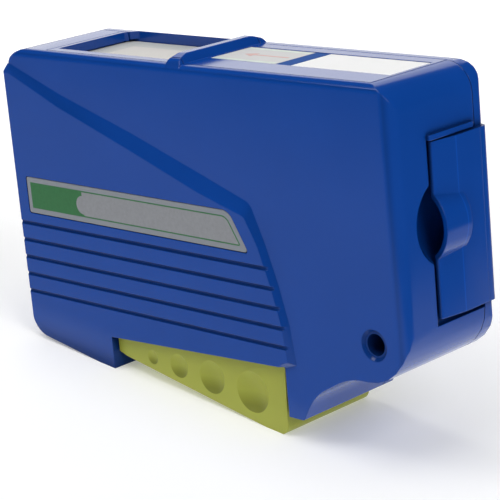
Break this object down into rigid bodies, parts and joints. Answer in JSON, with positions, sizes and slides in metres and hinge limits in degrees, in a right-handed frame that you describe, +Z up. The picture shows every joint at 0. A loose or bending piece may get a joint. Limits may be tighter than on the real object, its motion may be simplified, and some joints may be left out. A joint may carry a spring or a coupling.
{
  "type": "fibre_optic_cleaning_cassette",
  "caption": "Hand-held reel cassette that wipes fibre connector ends: squeeze lever, cloth tape under a top window with sliding shutter, hinged back cover",
  "frame": {"origin": "centre of the underside of the bounding box, at the level of the lever tip that the cassette rests on", "axes": "+X along the case from the plain end to the latch end, +Y from the front panel to the back cover, +Z up towards the window"},
  "size_m": [0.122, 0.0294, 0.0815],
  "materials": {
    "blue_case": "glossy moulded ABS, medium blue",
    "green_lever": "satin moulded plastic, yellow-green",
    "grey_plastic": "satin moulded plastic, light grey",
    "natural_plastic": "unpainted acetal, off-white",
    "dark_plastic": "moulded plastic, dark grey",
    "steel": "bright steel",
    "cloth_tape": "thin woven wiping cloth, white",
    "foam": "soft foam rubber, dark grey",
    "felt": "pressed felt, dark grey",
    "white_film": "printed film label, off-white",
    "grey_film": "printed film label, light grey",
    "blue_film": "printed film label, blue"
  },
  "bodies": {
    "case": {"front_shell": "blue_case", "top_plate": "blue_case", "chassis_plate": "dark_plastic", "chassis_screws": "steel", "tape_deck": "grey_plastic", "wiping_pad": "foam", "cleaning_tape": "cloth_tape", "roller_pins": "steel", "lever_pin": "steel", "lever_spring": "steel", "holding_pawl": "dark_plastic", "reel_brake": "felt", "front_label": "grey_film", "arrow_label": "white_film", "blue_label": "blue_film", "white_label": "white_film"},
    "lever": {"lever": "green_lever", "lever_arc": "natural_plastic"},
    "drive": {"drive_wheel": "natural_plastic", "drive_pawl": "dark_plastic"},
    "take_up": {"ratchet_wheel": "dark_plastic", "take_up_reel": "natural_plastic", "used_tape_roll": "cloth_tape"},
    "supply": {"supply_reel": "natural_plastic", "clean_tape_roll": "cloth_tape"},
    "roller_left": {"guide_roller_left": "steel"},
    "roller_right": {"guide_roller_right": "steel"},
    "shutter": {"shutter": "grey_plastic", "shutter_label": "white_film"},
    "cover": {"back_cover": "blue_case"},
    "latch": {"latch_tongue": "blue_case"}
  },
  "joints": [
    {"name": "lever_press", "type": "hinge", "parent": "case", "child": "lever", "pos_m": [-0.0275, 0, 0.01681], "axis": [0, -1, 0], "range_deg": [0, 6.19], "stiffness_Nm_per_rad": 1, "springref_deg": -20.05, "deforming": ["lever_spring"]},
    {"name": "drive_turn", "type": "hinge", "parent": "case", "child": "drive", "pos_m": [0.017, 0, 0.04461], "axis": [0, 1, 0], "range_deg": [0, 66.4]},
    {"name": "take_up_turn", "type": "hinge", "parent": "case", "child": "take_up", "pos_m": [0.017, 0, 0.04461], "axis": [0, 1, 0], "range_deg": [0, 66.4]},
    {"name": "supply_turn", "type": "hinge", "parent": "case", "child": "supply", "pos_m": [-0.032, 0, 0.04461], "axis": [0, 1, 0], "range_deg": [0, 42.3]},
    {"name": "roller_left_turn", "type": "hinge", "parent": "case", "child": "roller_left", "pos_m": [-0.0486, 0, 0.07131], "axis": [0, 1, 0], "range_deg": [0, 307]},
    {"name": "roller_right_turn", "type": "hinge", "parent": "case", "child": "roller_right", "pos_m": [-0.0034, 0, 0.07131], "axis": [0, 1, 0], "range_deg": [0, 307]},
    {"name": "shutter_slide", "type": "slide", "parent": "case", "child": "shutter", "axis": [1, 0, 0], "range_m": [0, 0.0349]},
    {"name": "cover_hinge", "type": "hinge", "parent": "case", "child": "cover", "pos_m": [-0.061, 0.0115, 0.03961], "axis": [0, 0, 1], "range_deg": [0, 26]},
    {"name": "latch_flex", "type": "hinge", "parent": "cover", "child": "latch", "pos_m": [0.059, 0.0116, 0.04881], "axis": [0, 0, 1], "range_deg": [0, 6], "stiffness_Nm_per_rad": 1.2}
  ],
  "couplings": [
    {"joint": "drive_turn", "follows": "lever_press", "ratio": 10.66},
    {"joint": "take_up_turn", "follows": "lever_press", "ratio": 10.66},
    {"joint": "supply_turn", "follows": "lever_press", "ratio": 6.7607},
    {"joint": "roller_left_turn", "follows": "lever_press", "ratio": 49.405},
    {"joint": "roller_right_turn", "follows": "lever_press", "ratio": 49.405},
    {"joint": "shutter_slide", "follows": "lever_press", "m_per_rad": 0.3198}
  ]
}
